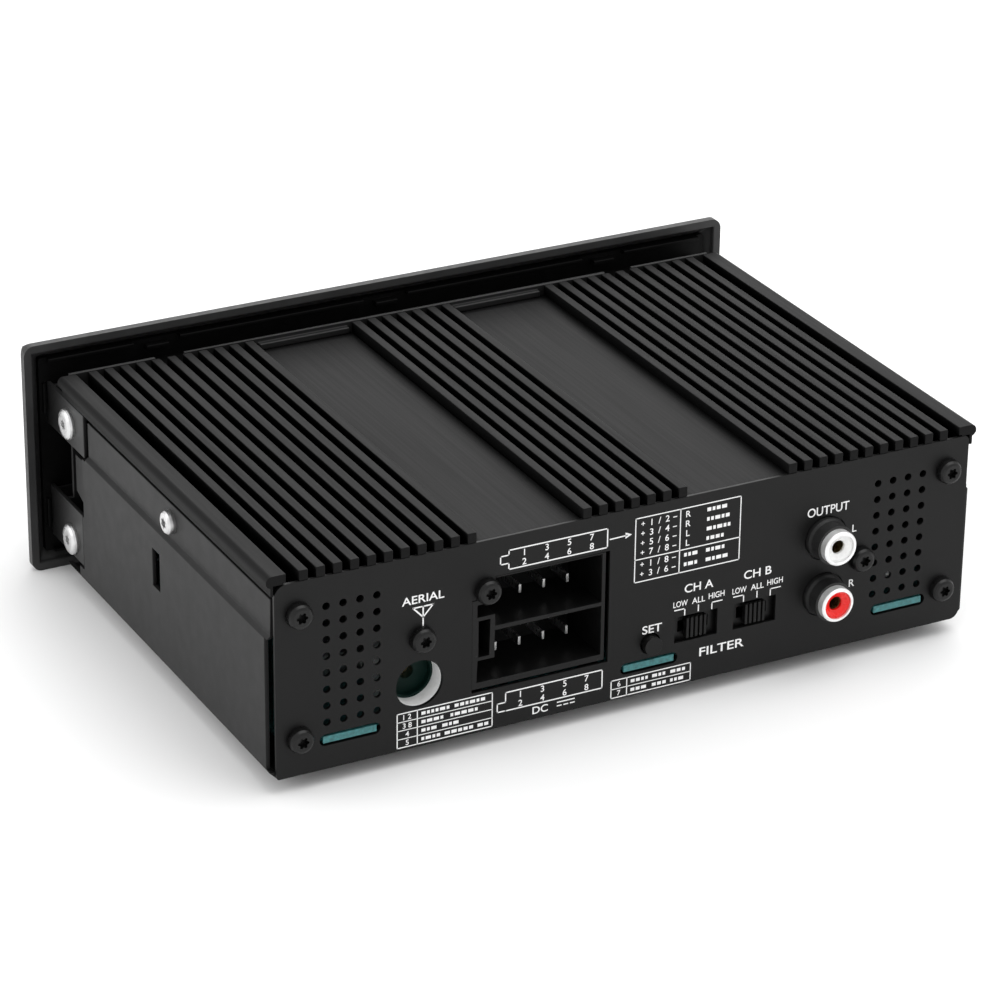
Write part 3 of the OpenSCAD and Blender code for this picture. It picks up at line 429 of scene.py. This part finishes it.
def add_piece(name, bm, body, material):
    mesh = bpy.data.meshes.new(name)
    bm.to_mesh(mesh)
    bm.free()
    for layer in ("custom_normal", "sharp_edge", "sharp_face"):
        if layer in mesh.attributes:
            mesh.attributes.remove(mesh.attributes[layer])
    mesh.materials.clear()
    mesh.materials.append(material)
    obj = bpy.data.objects.new(name, mesh)
    bpy.context.scene.collection.objects.link(obj)
    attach(obj, body)
    return obj


def clean_edge(edge, width, shortest):
    """True for a sharp edge that is long enough, on faces roomy enough, to be rounded without a fold."""
    if len(edge.link_faces) != 2 or edge.calc_face_angle(0) < math.radians(30):
        return False
    if edge.calc_length() < shortest * MM:
        return False
    for face in edge.link_faces:
        if face.calc_area() < shortest * MM * MM:
            return False
        beside = [e for e in face.edges if e is not edge and set(e.verts) & set(edge.verts)]
        if min(e.calc_length() for e in beside) < 2 * width * MM:
            return False
    return True


def rounded(node, width, shortest, join_faces=True):
    """A finer piece in a CAD node's place, with its long edges rounded."""
    bm = bmesh.new()
    bm.from_mesh(frame["nodes"][node].data)
    bmesh.ops.remove_doubles(bm, verts=bm.verts, dist=0.002 * MM)
    if join_faces:
        bmesh.ops.dissolve_limit(
            bm, angle_limit=math.radians(0.4), verts=bm.verts, edges=bm.edges,
            use_dissolve_boundaries=False, delimit=set(),
        )
    edges = [e for e in bm.edges if clean_edge(e, width, shortest)]
    bmesh.ops.bevel(
        bm, geom=edges, offset=width * MM, offset_type="OFFSET", segments=2,
        profile=0.5, affect="EDGES", clamp_overlap=False,
    )
    slot = SLOT_OF[node]
    piece = add_piece(node + "_shell", bm, BODY_OF[node], MATERIALS[slot])
    shade(piece)
    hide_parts(node)
    return piece


rounded("heatsink", 0.2, 1)
rounded("chassis_tray", 0.2, 3, join_faces=False)
rounded("rear_panel", 0.1, 1)
rounded("front_frame", 0.2, 1)
rounded("bezel", 0.4, 1)
# the fascia back, deep in the bezel, takes the painted-shade recess colour
rounded("fascia_back", 0.15, 3).data.materials[0] = RECESS_PAINTED_SHADE
rounded("iso_connector", 0.12, 3, join_faces=False)


# ---- printed marks on the rear panel ----

class Sheet:
    """Flat printed shapes on one plane. x runs across the row frame and z up, in millimetres."""

    def __init__(self, origin, across, up):
        self.bm = bmesh.new()
        self.origin = origin
        self.across = across
        self.up = up

    def point(self, x, z):
        return self.origin + (self.across * x + self.up * z) * MM

    def shape(self, points):
        verts = [self.bm.verts.new(self.point(x, z)) for x, z in points]
        self.bm.faces.new(verts)

    def bar(self, x1, x2, z1, z2):
        self.shape([(x1, z1), (x2, z1), (x2, z2), (x1, z2)])

    def line(self, a, b, width):
        along = Vector((b[0] - a[0], b[1] - a[1])).normalized() * (width / 2)
        side = Vector((-along.y, along.x))
        start, end = Vector(a) - along, Vector(b) + along
        self.shape([start - side, end - side, end + side, start + side])

    def path(self, points, width, closed=False):
        ends = points[1:] + points[:1] if closed else points[1:]
        for a, b in zip(points, ends):
            self.line(a, b, width)

    def box(self, x1, x2, z1, z2, width):
        self.path([(x1, z1), (x2, z1), (x2, z2), (x1, z2)], width, closed=True)

    def word(self, text, x, z, height, width=None, heavy=0.012):
        """A word or number centred on x and z, with capitals of the given height."""
        curve = bpy.data.curves.new("word", "FONT")
        curve.body = text
        curve.size = 1
        curve.offset = heavy
        holder = bpy.data.objects.new("word", curve)
        bpy.context.scene.collection.objects.link(holder)
        depsgraph = bpy.context.evaluated_depsgraph_get()
        mesh = bpy.data.meshes.new_from_object(holder.evaluated_get(depsgraph))
        xs = [v.co.x for v in mesh.vertices]
        ys = [v.co.y for v in mesh.vertices]
        capital = 0.69
        ky = height / capital
        kx = width / (max(xs) - min(xs)) if width else ky
        mid_x = (max(xs) + min(xs)) / 2
        mid_y = capital / 2 if min(ys) > -0.05 and max(ys) > 0.5 else (max(ys) + min(ys)) / 2
        start = len(self.bm.verts)
        self.bm.from_mesh(mesh)
        self.bm.verts.ensure_lookup_table()
        for v in self.bm.verts[start:]:
            v.co = self.point(x + (v.co.x - mid_x) * kx, z + (v.co.y - mid_y) * ky)
        bpy.data.objects.remove(holder)
        bpy.data.curves.remove(curve)
        bpy.data.meshes.remove(mesh)

    def finish(self, name, body, material):
        bmesh.ops.recalc_face_normals(self.bm, faces=self.bm.faces)
        out = self.across.cross(self.up)
        for f in self.bm.faces:
            if f.normal.dot(out) < 0:
                f.normal_flip()
        return add_piece(name, self.bm, body, material)


OUTLINE = 0.3
RULE = 0.26


def strokes(sheet, x, z, length, height=0.8):
    """Plain dashes that stand where a word of a chart would be."""
    left = x
    while left < x + length - 0.6:
        piece = random.choice((0.7, 1.0, 1.3))
        piece = min(piece, x + length - left)
        sheet.bar(left, left + piece, z - height / 2, z + height / 2)
        left += piece + 0.35


def connector_outline(sheet, x, z1, z2, numbers_x, key_z):
    """Front view of a loom plug with its eight ways numbered."""
    key_x = x[0] - 2.05
    sheet.path([
        (x[0], key_z[1]), (key_x, key_z[1]), (key_x, key_z[0]), (x[0], key_z[0]),
        (x[0], z1), (x[1], z1), (x[1], z2), (x[0], z2),
    ], OUTLINE, closed=True)
    mid = (z1 + z2) / 2
    for i, nx in enumerate(numbers_x):
        sheet.word(str(2 * i + 1), nx, mid + 1.12, 1.5)
        sheet.word(str(2 * i + 2), nx, mid - 1.12, 1.5)


def chart(sheet, x, z, column, rows, row_h):
    """An outlined chart with one upright rule; each row has its number cell and its dashes."""
    sheet.box(x[0], x[1], z[0], z[1], RULE)
    sheet.line((column, z[0]), (column, z[1]), RULE)
    for i, (label, lengths) in enumerate(rows):
        row_z = z[1] - row_h * (i + 0.5)
        if i:
            sheet.line((x[0], z[1] - row_h * i), (x[1], z[1] - row_h * i), RULE * 0.8)
        sheet.word(label, (x[0] + column) / 2, row_z, 1.25)
        left = column + 1.0
        for length in lengths:
            strokes(sheet, left, row_z, length)
            left += length + 1.1


def rear_marks():
    """x here runs to the right as the panel is seen, so it is the row frame's -X."""
    sheet = Sheet(at(0, 0, 0) + Vector((0, PRINT_LIFT, 0)), Vector((-1, 0, 0)), Vector((0, 0, 1)))
    connector_outline(sheet, (-31.3, -6.9), 38.5, 43.1, (-27.5, -21.95, -16.4, -10.8), (40.0, 41.95))
    connector_outline(sheet, (-31.7, -7.45), 3.75, 8.3, (-28.0, -22.5, -16.9, -11.4), (3.8, 5.9))
    # arrow from the upper plug to its chart
    sheet.line((-6.2, 40.3), (-2.0, 40.4), OUTLINE)
    sheet.shape([(-2.4, 39.65), (-0.75, 40.4), (-2.4, 41.15)])
    # chart of the upper plug: pairs of ways, and the side each pair drives
    low, high, split = 28.2, 43.9, 33.75
    left, right, column = 0.15, 26.95, 11.5
    sheet.box(left, right, low, high, RULE)
    sheet.line((column, low), (column, high), RULE)
    sheet.line((left, split), (right, split), RULE)
    pairs = (("1", "2"), ("3", "4"), ("5", "6"), ("7", "8"), ("1", "8"), ("3", "6"))
    sides = ("R", "R", "L", "L", "", "")
    words = (5.2, 6.6, 6.6, 5.2, 5.2, 6.6)
    row_h = 2.36
    for i, (pair, side, length) in enumerate(zip(pairs, sides, words)):
        z = high - row_h * (i + 0.5) - 0.35 - (0.55 if i > 3 else 0)
        sheet.word("+", 2.0, z, 1.3)
        sheet.word(pair[0], 4.2, z, 1.5)
        sheet.word("/", 6.2, z, 1.5)
        sheet.word(pair[1], 8.2, z, 1.5)
        sheet.bar(9.6, 10.6, z - 0.12, z + 0.12)
        if side:
            sheet.word(side, 13.5, z, 1.5)
        else:
            strokes(sheet, 12.7, z, 3.4, 0.9)
        strokes(sheet, 18.3, z, length, 0.9)
    chart(sheet, (-58.3, -35.0), (0.75, 9.15), -53.4,
          (("1 2", (7.0, 7.5)), ("3 8", (6.0, 7.2)), ("4", (4.0, 4.2)), ("5", (4.6, 7.0, 3.0))), 2.1)
    chart(sheet, (-5.1, 15.3), (0.45, 4.85), -1.1, (("6", (4.4, 3.6, 3.8)), ("7", (4.4, 3.6, 3.8))), 2.2)
    # aerial sign
    sheet.path([(-54.45, 34.2), (-49.65, 34.2), (-52.05, 31.6)], 0.34, closed=True)
    sheet.line((-52.05, 34.2), (-52.05, 29.5), 0.34)
    sheet.word("AERIAL", -52.05, 36.2, 1.9, 10.2)
    sheet.word("OUTPUT", 50.1, 35.7, 2.1, 11.0)
    sheet.word("L", 57.3, 29.5, 1.8)
    sheet.word("R", 57.3, 15.6, 1.8)
    # crossover positions
    for mid, title, width in ((16.85, "CH A", 7.4), (32.1, "CH B", 7.2)):
        sheet.word(title, mid, 23.8, 2.0, width)
        sheet.word("LOW", mid - 4.65, 20.35, 1.4, 3.7)
        sheet.word("ALL", mid, 20.35, 1.4, 3.4)
        sheet.word("HIGH", mid + 4.65, 20.6, 1.4, 4.1)
        sheet.path([(mid - 6.1, 18.9), (mid - 3.5, 18.9), (mid - 3.5, 17.35)], 0.28)
        sheet.line((mid, 19.0), (mid, 17.6), 0.28)
        sheet.path([(mid + 6.1, 18.9), (mid + 3.5, 18.9), (mid + 3.5, 17.35)], 0.28)
    sheet.word("FILTER", 23.3, 6.95, 2.1, 11.6)
    sheet.word("SET", 5.05, 15.75, 1.95, 5.0)
    # direct current sign
    sheet.word("DC", -23.0, 2.15, 1.75, 3.9)
    sheet.bar(-18.8, -14.3, 2.65, 2.95)
    for i in range(3):
        sheet.bar(-18.8 + i * 1.65, -17.6 + i * 1.65, 1.75, 2.05)
    return sheet.finish("panel_marks", "chassis", WHITE_INK)


rear_marks()


# ---- knob and key signs ----

def lathe_with_ribs(centre, rings, ribs, depth, steps_per_rib=6):
    """A turned form along -Y. Each ring is (radius, distance forward, ribbed)."""
    bm = bmesh.new()
    count = ribs * steps_per_rib
    loops = []
    for radius, forward, ribbed in rings:
        loop = []
        for i in range(count):
            turn = 2 * math.pi * i / count
            wave = 0.5 - 0.5 * math.cos(turn * ribs)
            r = radius - (depth * wave if ribbed else 0)
            loop.append(bm.verts.new(centre + Vector((r * math.cos(turn), -forward, r * math.sin(turn)))))
        loops.append(loop)
    for a, b in zip(loops, loops[1:]):
        for i in range(count):
            j = (i + 1) % count
            bm.faces.new((a[i], a[j], b[j], b[i]))
    bm.faces.new(loops[-1])
    bm.faces.new(list(reversed(loops[0])))
    bmesh.ops.recalc_face_normals(bm, faces=bm.faces)
    return bm


def make_knob():
    """Turned knob: hub and bore behind, fine grip ribs round the rim, a shallow dish in front."""
    low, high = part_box("volume_knob")
    shaft_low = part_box("encoder_shaft")[0]
    radius = (high.x - low.x) / 2
    length = high.y - low.y
    centre = Vector(((low.x + high.x) / 2, high.y, (low.z + high.z) / 2))
    hub = 5.5 * MM
    wall = 2 * MM
    hollow = shaft_low.y - low.y
    bore = 3 * MM
    edge = 0.6 * MM
    dish = 0.8 * MM
    grip_ribs = 72
    rib_depth = 0.35 * MM
    rings = [
        (bore, length - hollow, False),
        (bore, 0.2 * MM, False),
        (hub, 0.0, False),
        (hub, length - hollow, False),
        (radius - wall, length - hollow, False),
        (radius - wall, 0.3 * MM, False),
        (radius - 1.2 * MM, 0.0, False),
        (radius - 0.3 * MM, 0.0, False),
        (radius, 0.4 * MM, False),
        (radius, 0.9 * MM, False),
        (radius, 1.5 * MM, True),
        (radius, length - 2.6 * MM, True),
        (radius, length - 2.0 * MM, False),
        (radius - 0.1 * MM, length - 1.5 * MM, False),
        (radius - 1.2 * MM, length - 0.25 * MM, False),
        (radius - 1.2 * MM - edge, length, False),
        (radius - 3.6 * MM, length, False),
        (radius - 4.2 * MM, length - dish * 0.6, False),
        (radius - 5.2 * MM, length - dish, False),
    ]
    bm = lathe_with_ribs(centre, rings, grip_ribs, rib_depth)
    knob = add_piece("knob_cap", bm, "volume_knob", MATERIALS["fascia_plastic"])
    shade(knob)
    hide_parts("volume_knob")


make_knob()


def key_signs():
    """Plain generic signs on the front keys."""
    lift = Vector((0, -PRINT_LIFT, 0))
    across = Vector((1, 0, 0))
    up = Vector((0, 0, 1))
    w = 0.35    # stroke width

    def sheet_on(node):
        low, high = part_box(node)
        return Sheet(Vector(((low.x + high.x) / 2, low.y, (low.z + high.z) / 2)) + lift, across, up)

    def triangle(sheet, x, size):
        sheet.shape([(x - size, -abs(size)), (x + size, 0), (x - size, abs(size))])

    signs = {}
    for node in ("source_button", "menu_button", "previous_button", "play_button", "next_button",
                 "back_button", "power_button"):
        signs[node] = sheet_on(node)
    sheet = signs["source_button"]
    sheet.box(-1.6, 1.6, -1.1, 1.1, w)
    sheet.line((0, -1.1), (0, 1.1), w)
    sheet = signs["menu_button"]
    for z in (-1.0, 0.0, 1.0):
        sheet.line((-1.5, z), (1.5, z), w)
    triangle(signs["previous_button"], -0.9, -0.8)
    triangle(signs["previous_button"], 0.9, -0.8)
    triangle(signs["play_button"], -1.0, 0.9)
    for x in (0.9, 1.9):
        signs["play_button"].line((x, -0.75), (x, 0.75), w)
    triangle(signs["next_button"], -0.9, 0.8)
    triangle(signs["next_button"], 0.9, 0.8)
    sheet = signs["back_button"]
    sheet.path([(1.5, -0.9), (1.5, 0.4), (-1.0, 0.4)], w)
    sheet.shape([(-0.9, -0.4), (-1.9, 0.4), (-0.9, 1.2)])
    sheet = signs["power_button"]
    arc = [(1.5 * math.sin(math.radians(a)), 1.5 * math.cos(math.radians(a))) for a in range(40, 321, 20)]
    sheet.path(arc, w)
    sheet.line((0, 0.3), (0, 1.9), w)
    for node, sheet in signs.items():
        sheet.finish(node.replace("button", "sign"), node, KEY_INK)


key_signs()


def display_segments():
    """The segments of a switched-off display, just visible through its dark lens."""
    low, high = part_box("display_lens")
    middle = Vector(((low.x + high.x) / 2, low.y - PRINT_LIFT, (low.z + high.z) / 2))
    sheet = Sheet(middle, Vector((1, 0, 0)), Vector((0, 0, 1)))
    digit_w = 5.0
    digit_h = 9.0
    stroke = 0.9
    gap = 0.35
    digits_x = (-22, -14.5, -4.5, 3)
    for x in digits_x:
        for z in (0, 1, 2):
            bar_z = (z - 1) * digit_h / 2
            sheet.bar(x + gap, x + digit_w - gap, bar_z - stroke / 2, bar_z + stroke / 2)
        for side_x in (x, x + digit_w):
            for z in (-digit_h / 2, 0):
                sheet.bar(
                    side_x - stroke / 2, side_x + stroke / 2,
                    z + gap + stroke / 2, z + digit_h / 2 - gap - stroke / 2,
                )
    for z in (-1.6, 1.6):
        sheet.bar(-7.4, -6.4, z - 0.5, z + 0.5)
    bar_count = 8
    for i in range(bar_count):
        height = 1.2 + 6.8 * (i + 1) / bar_count
        left = 15 + i * 2
        sheet.bar(left, left + 1.2, -digit_h / 2 - 0.4, height - digit_h / 2 - 0.4)
    return sheet.finish("display_segments", "chassis", GHOST_INK)


display_segments()


# ---- floor and light ----

def make_floor():
    """Plain pale floor at the bezel's lower edge."""
    half = 6
    bm = bmesh.new()
    corners = [(-half, -half), (half, -half), (half, half), (-half, half)]
    bm.faces.new([bm.verts.new((x, y, cad_low.z)) for x, y in corners])
    mesh = bpy.data.meshes.new("floor")
    bm.to_mesh(mesh)
    bm.free()
    p = Paint("floor", (0.88, 0.88, 0.88), 0.85, specular=0.1)
    p.mottle(cube3(0.002), 0.01)
    mesh.materials.append(p.material)
    floor = bpy.data.objects.new("floor", mesh)
    bpy.context.scene.collection.objects.link(floor)


def softbox(name, location, size, power):
    """Rectangular area light aimed at the object."""
    data = bpy.data.lights.new(name, "AREA")
    data.shape = "RECTANGLE"
    data.size, data.size_y = size
    data.energy = power
    light = bpy.data.objects.new(name, data)
    bpy.context.scene.collection.objects.link(light)
    light.location = location
    aim = Vector((0, 0, BASE_Z)) - Vector(location)
    light.rotation_mode = "QUATERNION"
    light.rotation_quaternion = aim.to_track_quat("-Z", "Y")


def make_light():
    """White surroundings and three soft boxes."""
    world = bpy.data.worlds.new("studio")
    world.use_nodes = True
    back = world.node_tree.nodes["Background"]
    back.inputs["Color"].default_value = (1, 1, 1, 1)
    back.inputs["Strength"].default_value = 0.95
    bpy.context.scene.world = world
    softbox("key_light", (-0.4, 0.3, 1.6), (1.4, 1.4), 14)
    softbox("back_light", (-1.0, -1.6, 1.0), (1.6, 1.0), 10)
    softbox("side_light", (1.6, -0.6, 0.9), (1.2, 1.2), 8)
    bpy.context.scene.view_settings.view_transform = "Standard"


make_floor()
make_light()
